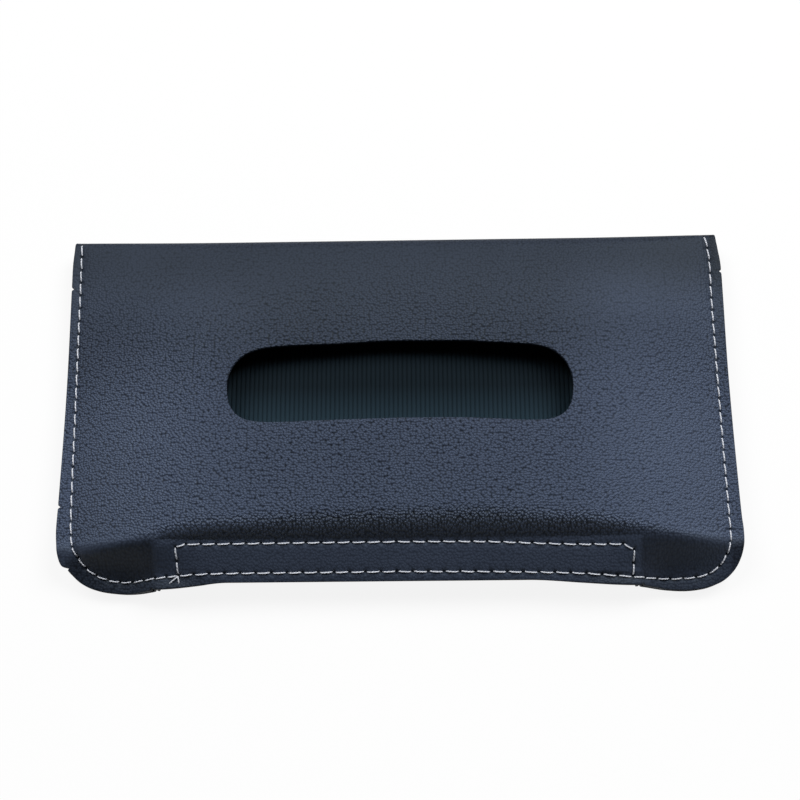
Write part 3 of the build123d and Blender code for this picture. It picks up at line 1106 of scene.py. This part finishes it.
def grown(name, points, attributes, tree, inputs):
    """The plain mesh that a geometry tree makes from some points with their values."""
    mesh = bpy.data.meshes.new(name)
    mesh.from_pydata(points.tolist(), [], [])
    for label, kind, field, values in attributes:
        mesh.attributes.new(label, kind, "POINT").data.foreach_set(field, values.astype(np.float32).ravel())
    seed = new_object(name + "_seed", mesh)
    modifier = seed.modifiers.new("grow", "NODES")
    modifier.node_group = tree
    for identifier, value in inputs.items():
        modifier[identifier] = value
    graph = bpy.context.evaluated_depsgraph_get()
    made = bpy.data.meshes.new_from_object(seed.evaluated_get(graph))
    seed.modifiers.remove(modifier)
    bpy.data.objects.remove(seed)
    bpy.data.meshes.remove(mesh)
    made.name = name
    return new_object(name, made)


def thread_turns(ahead, across, up, slant):
    """Euler angles of threads along their stitches, leaning across by slant degrees."""
    lean = radians(slant)
    along = ahead * cos(lean) + across * sin(lean)
    beside = across * cos(lean) - ahead * sin(lean)
    turns = [Matrix(np.stack(sides, 1)).to_euler() for sides in zip(along, beside, up)]
    return np.array([tuple(turn) for turn in turns])


def sewn(name, rows, face, side, look, dent=press_depth, share=stitch_share, slant=0.0,
         width=thread_width, dip=thread_dip):
    """The stitches of some rows on a face."""
    middles = np.vstack([row.middles for row in rows])
    starts = face(np.vstack([row.holes[:-1] for row in rows]))
    ends = face(np.vstack([row.holes[1:] for row in rows]))
    length = np.linalg.norm(ends - starts, axis=1)
    ahead = (ends - starts) / length[:, None]
    across = np.cross(normals_of(face, middles, side), ahead)
    across /= np.linalg.norm(across, axis=1)[:, None]
    up = np.cross(ahead, across)
    chord = (starts + ends) / 2
    lift = np.maximum(((face(middles) - chord) * up).sum(1), 0)
    places = (chord + up * (lift + width * 0.5 - dent * thread_sink)[:, None]) * MM
    attributes = [
        ("turn", "FLOAT_VECTOR", "vector", thread_turns(ahead, across, up, slant)),
        ("stretch", "FLOAT", "value", length / stitch_pitch),
    ]
    inputs = {
        stitch_inputs["Length"]: share * stitch_pitch * MM,
        stitch_inputs["Thread Radius"]: width / 2 * MM,
        stitch_inputs["Dip"]: dip * MM,
        stitch_inputs["Material"]: look,
    }
    return grown(name, places, attributes, stitches, inputs)


# Rows of the stitched rectangle on the lip, half on each side of the middle
left_rectangle = [
    Row(smooth_path([left_mouth_end, (-60, -60.75), (-30, -60.7), (0, -60.65)], seam_step)),
    Row([left_mouth_end, (-75.0, -52.7)], 4.15),
    Row([(-75.0, -52.7), (-71.4, -51.9)], 3.7),
    Row(smooth_path([(-71.4, -51.9), (-36, -51.75), (0, -51.7)], seam_step)),
]
right_rectangle = [
    Row(smooth_path([right_mouth_end, (58, -61.5), (30, -60.9), (0, -60.65)], seam_step)),
    Row([right_mouth_end, (80.4, -54.7)], 3.9),
    Row([(80.4, -54.7), (76.6, -53.1)], 4.1),
    Row(smooth_path([(76.6, -53.1), (58, -52.9), (30, -51.9), (0, -51.7)], seam_step)),
]
tails = [Row([left_mouth_end, (-77.6, -63.3)], 4.0), Row([left_mouth_end, (-74.4, -63.2)], 4.0)]


def seam_rows(path):
    """Longer stitches down the side of the pouch, shorter ones round its lower corner."""
    turn = np.argmax(path[:, 1] < corner_row_y)
    return [Row(path[:turn + 1], side_pitch), Row(path[turn:], corner_pitch)]


left_seam_rows = seam_rows(left_seam)
right_seam_rows = seam_rows(right_seam)
front_rows = left_seam_rows + right_seam_rows + left_rectangle + right_rectangle

# Rows of the stitched rectangle on the back leather, which starts at back_edge_y
back_edge_y = back_low[1] + 3.6
back_row_low = back_edge_y + 3.4
back_row_high = back_row_low + 10.7
back_row_half = lip_half - 3.4
back_rectangle = [
    Row([(-back_row_half, back_row_low), (back_row_half, back_row_low)]),
    Row([(-back_row_half, back_row_high), (back_row_half, back_row_high)]),
    Row([(-back_row_half, back_row_low), (-back_row_half, back_row_high)]),
    Row([(back_row_half, back_row_low), (back_row_half, back_row_high)]),
]

# Row of the hem, where the leaf is sewn to the back leather
hem_y = leaf_end + 2.2
hem_half = 109.5
hem = Row([(-hem_half, hem_y), (hem_half, hem_y)])


def mouth_chain(start_x, end_x):
    """Lower edge of the lip from one X to the other."""
    x = np.linspace(start_x, end_x, max(2, int(abs(end_x - start_x) / edge_step)))
    return np.stack([x, mouth_edge_y(x)], 1)


def closed(points):
    """A free closed chain."""
    return [(np.vstack([points, points[:1]]), False)]


def rectangle_chains(low, high, step, joined):
    """Sides of a rectangle from its low corner round; the joined one is given by its number."""
    corners = [low, (high[0], low[1]), high, (low[0], high[1]), low]
    sides = enumerate(zip(corners, corners[1:]))
    return [(even_path([start, end], step), number == joined) for number, (start, end) in sides]


# Edges of the cuts; flip turns the left half of a cut into the right one
flip = np.array([-1, 1])
left_edge = notched(smooth_path(left_edge_points, edge_step), left_notches)
right_edge = notched(smooth_path(right_edge_points, edge_step), right_notches)
hinge_half = even_path([(-lip_cut, hinge_y), (0, hinge_y)], joined_step)
left_wall = even_path([left_edge[0], (-lip_cut, hinge_y)], joined_step)
right_wall = even_path([right_edge[0], (lip_cut, hinge_y)], joined_step)


def make_cover():
    """Front leather from the flanges over the top fold to the leaf on the back."""
    leaf = even_path([right_edge[-1], left_edge[-1]], edge_step)
    chains = [
        (left_wall, True),
        (hinge_half, True),
        ((hinge_half * flip)[::-1], True),
        (right_wall[::-1], True),
        (right_edge, False),
        (leaf, False),
        (left_edge[::-1], False),
    ]
    slot = smooth_path(slot_points, edge_step)[:0:-1]
    loops = [Loop(chains), Loop(closed(slot))]
    cover = sheet_of("front_leather", loops, front_face, 1, leather, leather_looks, front_rows)
    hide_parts("outer_cover")
    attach(cover, "pouch")


def make_lip_half(side, name):
    """One half of the leather lip."""
    middle = even_path([(0, mouth_edge_y(np.zeros(1))[0]), (0, hinge_y)], joined_step)
    if side < 0:
        chains = [
            (mouth_chain(-lip_cut, 0), False),
            (middle, True),
            (hinge_half[::-1], True),
            (left_wall[::-1], True),
        ]
    else:
        chains = [
            (mouth_chain(0, lip_cut), False),
            (right_wall, True),
            (hinge_half * flip, True),
            (middle[::-1], True),
        ]
    lip = sheet_of(name, [Loop(chains)], front_face, 1, leather, leather_looks, front_rows)
    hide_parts("front_lip")
    blend_lip(lip, side)


def blend_lip(obj, side):
    """Bakes the piece's place into its mesh; nothing here makes it turn with the lip."""
    outer = (side * lip_half * MM, 0, 0)
    inner = (side * level_half * MM, 0, 0)
    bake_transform(obj)


# Facing: its cut, its gap to the lip, and how its magnet pockets thicken from its edge
facing_half = 74.0
facing_low = -61.6
facing_high = -51.6
facing_cell = 1.6
facing_gap = 0.03
facing_thickness = 1.5
facing_edge = 0.45
pocket_rise = 1.1
pocket_slope = 2.2


def make_facing_half(side, name):
    """Cloth strip behind the lip, which holds its magnets."""

    def face(places):
        normal = normals_of(front_face, places, 1)
        return front_face(places) - normal * (leather + facing_gap)

    def pocket_face(places, normal):
        x, y = places[:, 0], places[:, 1]
        inset = np.minimum(facing_half - np.abs(x), np.minimum(y - facing_low, facing_high - y))
        thickness = facing_edge + pocket_rise * ease(inset / pocket_slope)
        return face(places) - normal * thickness[:, None]

    chains = rectangle_chains((-facing_half, facing_low), (0, facing_high), joined_step, 1)
    if side > 0:
        chains = [(chain[::-1] * flip, joined) for chain, joined in chains[::-1]]
    looks = [facing_look, facing_look]
    strip = sheet_of(
        name, [Loop(chains)], face, 1, facing_thickness, looks,
        spacing=facing_cell, other_face=pocket_face,
    )
    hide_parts("lip_facing")
    blend_lip(strip, side)


# Back leather: its cut along the mouth and under the fold, and its inset from the front's edges
back_mouth_half = 80.6
back_top_half = 115.6
back_under_fold = 0.5
back_inset = np.array([0.25, 0.2])


def make_back():
    """Back leather, cut back along the mouth and tucked into the top fold."""
    top_x = np.linspace(back_top_half, -back_top_half, 160)
    _, axis_y, _ = fold_shape(top_x)
    top = np.stack([top_x, axis_y - back_under_fold], 1)
    beside_mouth = back_mouth_half - 0.1
    on_left = (left_edge[:, 1] < top[-1, 1] - 1) & (left_edge[:, 0] < -beside_mouth)
    on_right = (right_edge[:, 1] < top[0, 1] - 1) & (right_edge[:, 0] > beside_mouth)
    left = left_edge[on_left] + back_inset
    right = right_edge[on_right] + back_inset * flip
    mouth_ends = [(-back_mouth_half, back_edge_y), (back_mouth_half, back_edge_y)]
    outline = np.vstack([even_path(mouth_ends, edge_step), right, top, left[::-1]])
    rows = left_seam_rows + right_seam_rows + back_rectangle
    loops = [Loop(closed(outline))]
    back = sheet_of("back_leather", loops, back_sheet_face, -1, leather, leather_looks, rows)
    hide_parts("back_panel")
    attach(back, "pouch")


def make_stitching():
    """All rows of white thread."""
    for rows, label in [(left_seam_rows, "left"), (right_seam_rows, "right")]:
        front = sewn(f"{label}_seam_front", rows, front_face, 1, white_thread, slant=seam_slant)
        back = sewn(
            f"{label}_seam_back", rows, back_and_leaf_face, -1, white_thread, slant=seam_slant
        )
        for piece in (front, back):
            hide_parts(f"{label}_seam_thread")
            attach(piece, "pouch")
    for side, rows, label in [(-1, left_rectangle, "left"), (1, right_rectangle, "right")]:
        slant = -side * lip_slant
        piece = sewn(f"{label}_lip_stitches", rows, front_face, 1, white_thread, slant=slant)
        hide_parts("lip_thread")
        blend_lip(piece, side)
    loose = sewn("thread_tails", tails, front_face, 1, white_thread, dent=0, share=1.0, width=0.5, dip=0.2)
    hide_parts("lip_thread")
    blend_lip(loose, -1)
    piece = sewn("back_stitches", back_rectangle, back_sheet_face, -1, white_thread)
    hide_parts("back_thread")
    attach(piece, "pouch")
    piece = sewn("hem_stitches", [hem], back_and_leaf_face, -1, white_thread, dent=0)
    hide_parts("top_hem_thread")
    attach(piece, "pouch")


# Lining: its cut, with round lower corners, and its ribs
lining_side = lining_high[0] - 1.0
lining_foot = -57.0
lining_head = lining_high[1] - 0.8
lining_corner = 22.0
lining_floor = lining_top - 0.42
lining_cell = 6.0
rib_pitch = 1.6
rib_radius = 0.74
rib_flatness = 0.35
rib_left_gap = 1.4
rib_right_gap = 1.0
rib_low_gap = 0.8
rib_high_gap = 0.6


def lining_sheet():
    """Thin sheet that the ribs lie on."""
    angles = np.linspace(0, pi / 2, 30)
    turn_x = lining_side - lining_corner + lining_corner * np.cos(angles)
    turn_y = lining_foot + lining_corner - lining_corner * np.sin(angles)
    turn = np.stack([turn_x, turn_y], 1)
    head = [(lining_side, lining_head), (-lining_side, lining_head)]
    outline = np.vstack([turn[::-1], head, turn * flip, turn[-1:]])
    loops = [Loop(closed(even_path(outline, 2.0)[:-1]))]

    def face(places):
        return np.column_stack([places, np.full(len(places), lining_floor)])

    thickness = lining_floor - lining_low[2] - 0.02
    looks = [lining_look, lining_look]
    return sheet_of("lining_sheet", loops, face, 1, thickness, looks, spacing=lining_cell)


def lining_ribs():
    """Ribs up the lining, each from its lower edge or round corner to its upper edge."""
    x = np.arange(-lining_side + rib_left_gap, lining_side - rib_right_gap, rib_pitch)
    past = np.clip(np.abs(x) - (lining_side - lining_corner), 0, lining_corner)
    low = lining_foot + lining_corner - np.sqrt(lining_corner**2 - past**2) + rib_low_gap
    reach = lining_head - rib_high_gap - low
    places = np.stack([x, low + reach / 2, np.full(len(x), lining_floor)], 1) * MM
    inputs = {
        rib_inputs["Rib Radius"]: rib_radius * MM,
        rib_inputs["Rib Flatness"]: rib_flatness,
        rib_inputs["Material"]: lining_look,
    }
    return grown("lining_ribs", places, [("reach", "FLOAT", "value", reach * MM)], ribs, inputs)


def make_lining():
    """Lining of the back, seen through the slot."""
    for piece in (lining_sheet(), lining_ribs()):
        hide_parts("back_lining")
        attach(piece, "pouch")


# Straps: their bow away from the back, the stitched ends, and where the stretch starts and ends
strap_thickness = 1.35
strap_step = 0.8
strap_cell = 1.5
strap_room = 1.4
strap_fall = 15.0
strap_end = 11.5
strap_still = 12.0
strap_stretch = 16.0
box_half = 10.0
box_low = 2.5
box_high = 9.5


def strap_height(y, low_y, high_y):
    """Height of the lower face of an elastic strap, which bows down between its ends."""
    rise_low = ease((y - low_y - strap_end) / strap_fall)
    rise_high = ease((high_y - strap_end - y) / strap_fall)
    return (back_face - strap_room) * (1 - np.minimum(rise_low, rise_high))


def strap_rows(x, low_y, high_y):
    """Stitched boxes with a cross at both ends of a strap."""
    rows = []
    for low, high in [(low_y + box_low, low_y + box_high), (high_y - box_high, high_y - box_low)]:
        corners = [(x - box_half, low), (x + box_half, low), (x + box_half, high), (x - box_half, high)]
        sides = list(zip(corners, corners[1:] + corners[:1]))
        for start, end in sides + [(corners[0], corners[2]), (corners[1], corners[3])]:
            rows.append(Row([start, end], box_pitch))
    return rows


def make_strap(label):
    """Elastic strap in two halves, and the stitches that sew its ends on."""
    band_low, band_high = node_box(f"{label}_strap_band")
    end_low, _ = node_box(f"{label}_strap_bottom_end")
    _, end_high = node_box(f"{label}_strap_top_end")
    left_x, right_x = band_low[0], band_high[0]
    low_y, high_y = end_low[1], end_high[1]
    middle_y = (low_y + high_y) / 2

    def face(places):
        return np.column_stack([places, strap_height(places[:, 1], low_y, high_y)])

    def inner_face(places, _):
        return face(places) + np.array([0, 0, strap_thickness])

    rows = strap_rows((left_x + right_x) / 2, low_y, high_y)
    for part, start, end, joined in [("lower", low_y, middle_y, 2), ("upper", middle_y, high_y, 0)]:
        chains = rectangle_chains((left_x, start), (right_x, end), strap_step, joined)
        own = [row for row in rows if start - 1 < row.path[:, 1].mean() < end + 1]
        half = sheet_of(
            f"{label}_strap_{part}", [Loop(chains)], face, -1, strap_thickness,
            [elastic_look, elastic_look], own, strap_cell, inner_face,
        )
        sewn_end = "bottom" if part == "lower" else "top"
        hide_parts(f"{label}_strap_band", f"{label}_strap_{sewn_end}_end")
        still = low_y + strap_still if part == "lower" else high_y - strap_still
        moving = still + strap_stretch if part == "lower" else still - strap_stretch
        still * MM
        moving * MM
        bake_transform(half)
    thread = sewn(f"{label}_strap_stitches", rows, face, -1, black_thread, share=0.9, width=0.7, dip=0.7)
    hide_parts(f"{label}_strap_thread")
    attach(thread, "pouch")


def dress_cad_nodes():
    """Materials of the rigid parts inside, whose CAD shape is right."""
    for name, look in [
        ("back_stiffener", board_look),
        ("back_magnets", magnet_look),
        ("lip_magnets", magnet_look),
    ]:
        node = frame["nodes"][name]
        if not node.material_slots:
            node.data.materials.append(look)
        for held in node.material_slots:
            held.material = look


make_cover()
make_lip_half(-1, "left_lip_leather")
make_lip_half(1, "right_lip_leather")
make_facing_half(-1, "left_lip_facing")
make_facing_half(1, "right_lip_facing")
make_back()
make_lining()
make_stitching()
make_strap("left")
make_strap("right")
dress_cad_nodes()

# Camera of the photograph
camera_tilt = radians(19.789)
camera_yaw = radians(1.046)
camera_roll = radians(-0.308)
camera_distance = 596.06
camera_target = Vector((1.375, 1.813, 12.0))
camera_lens = 76.03
camera_sensor = 36.0

# Lamps, in metres: left and right of the pouch, high up and beyond its top, aimed at its middle
lamp_x = 1.19
lamp_y = 1.15
lamp_z = 2.06
lamp_aim = Vector((0, 0, 0.01))
lamp_width = 1.2
lamp_length = 1.6


def make_camera():
    """Camera at the photograph's angle."""
    back = Vector((
        sin(camera_yaw) * cos(camera_tilt),
        -sin(camera_tilt),
        cos(camera_tilt) * cos(camera_yaw),
    )).normalized()
    right = (-back).cross(Vector((0, 1, 0))).normalized()
    up = right.cross(-back)
    rolled_right = right * cos(camera_roll) + up * sin(camera_roll)
    rolled_up = up * cos(camera_roll) - right * sin(camera_roll)
    lens = bpy.data.cameras.new("camera")
    lens.lens = camera_lens
    lens.sensor_width = camera_sensor
    lens.clip_start = 0.01
    camera = new_object("camera", lens)
    turn = Matrix((rolled_right, rolled_up, back)).transposed().to_4x4()
    camera.matrix_world = Matrix.Translation((camera_target + back * camera_distance) * MM) @ turn
    bpy.context.scene.camera = camera


def make_lamp(name, x, power):
    """A soft rectangular lamp of this power in watts."""
    light = bpy.data.lights.new(name, "AREA")
    light.shape = "RECTANGLE"
    light.size = lamp_width
    light.size_y = lamp_length
    light.energy = power
    lamp = new_object(name, light)
    lamp.location = (x, lamp_y, lamp_z)
    lamp.rotation_euler = (lamp_aim - lamp.location).to_track_quat("-Z", "Y").to_euler()


def seen_by_camera(wire):
    """1 for what the camera sees itself, 0 for everything else."""
    return wire.node("ShaderNodeLightPath", {}, {}, "Is Camera Ray")


def make_floor():
    """White floor that keeps the shadow of the pouch."""
    material, wire = blank_material("floor_white")
    seen = seen_by_camera(wire)
    shiny = wire.node("ShaderNodeLightPath", {}, {}, "Is Glossy Ray")
    share = wire.math("MAXIMUM", seen, shiny) * 0.88
    floor_colour = blend_colour(wire, seen, (0.08, 0.08, 0.08, 1), (0.95, 0.95, 0.95, 1))
    plain = wire.node("ShaderNodeBsdfDiffuse", {}, {"Color": floor_colour})
    white = wire.node("ShaderNodeEmission", {}, {"Color": (1, 1, 1, 1), "Strength": 1.0})
    mixed = wire.node("ShaderNodeMixShader", {}, {0: share, 1: plain, 2: white})
    wire.node("ShaderNodeOutputMaterial", {}, {"Surface": mixed})
    half = 6.0
    corners = [(-half, -half, 0), (half, -half, 0), (half, half, 0), (-half, half, 0)]
    mesh = bpy.data.meshes.new("floor")
    mesh.from_pydata(corners, [], [(0, 1, 2, 3)])
    mesh.materials.append(material)
    floor = new_object("floor", mesh)


def make_world():
    """Faint light from all round; the camera sees white."""
    world = bpy.data.worlds.new("studio")
    world.use_nodes = True
    world.node_tree.nodes.clear()
    wire = Wire(world.node_tree)
    dim = wire.node("ShaderNodeBackground", {}, {"Color": (0.9, 0.95, 1, 1), "Strength": 0.03})
    white = wire.node("ShaderNodeBackground", {}, {"Color": (1, 1, 1, 1), "Strength": 1.0})
    mixed = wire.node("ShaderNodeMixShader", {}, {0: seen_by_camera(wire), 1: dim, 2: white})
    wire.node("ShaderNodeOutputWorld", {}, {"Surface": mixed})
    bpy.context.scene.world = world


make_camera()
make_floor()
make_world()
make_lamp("left", -lamp_x, 37.0)
make_lamp("right", lamp_x, 57.0)
bpy.context.scene.view_settings.view_transform = "Standard"
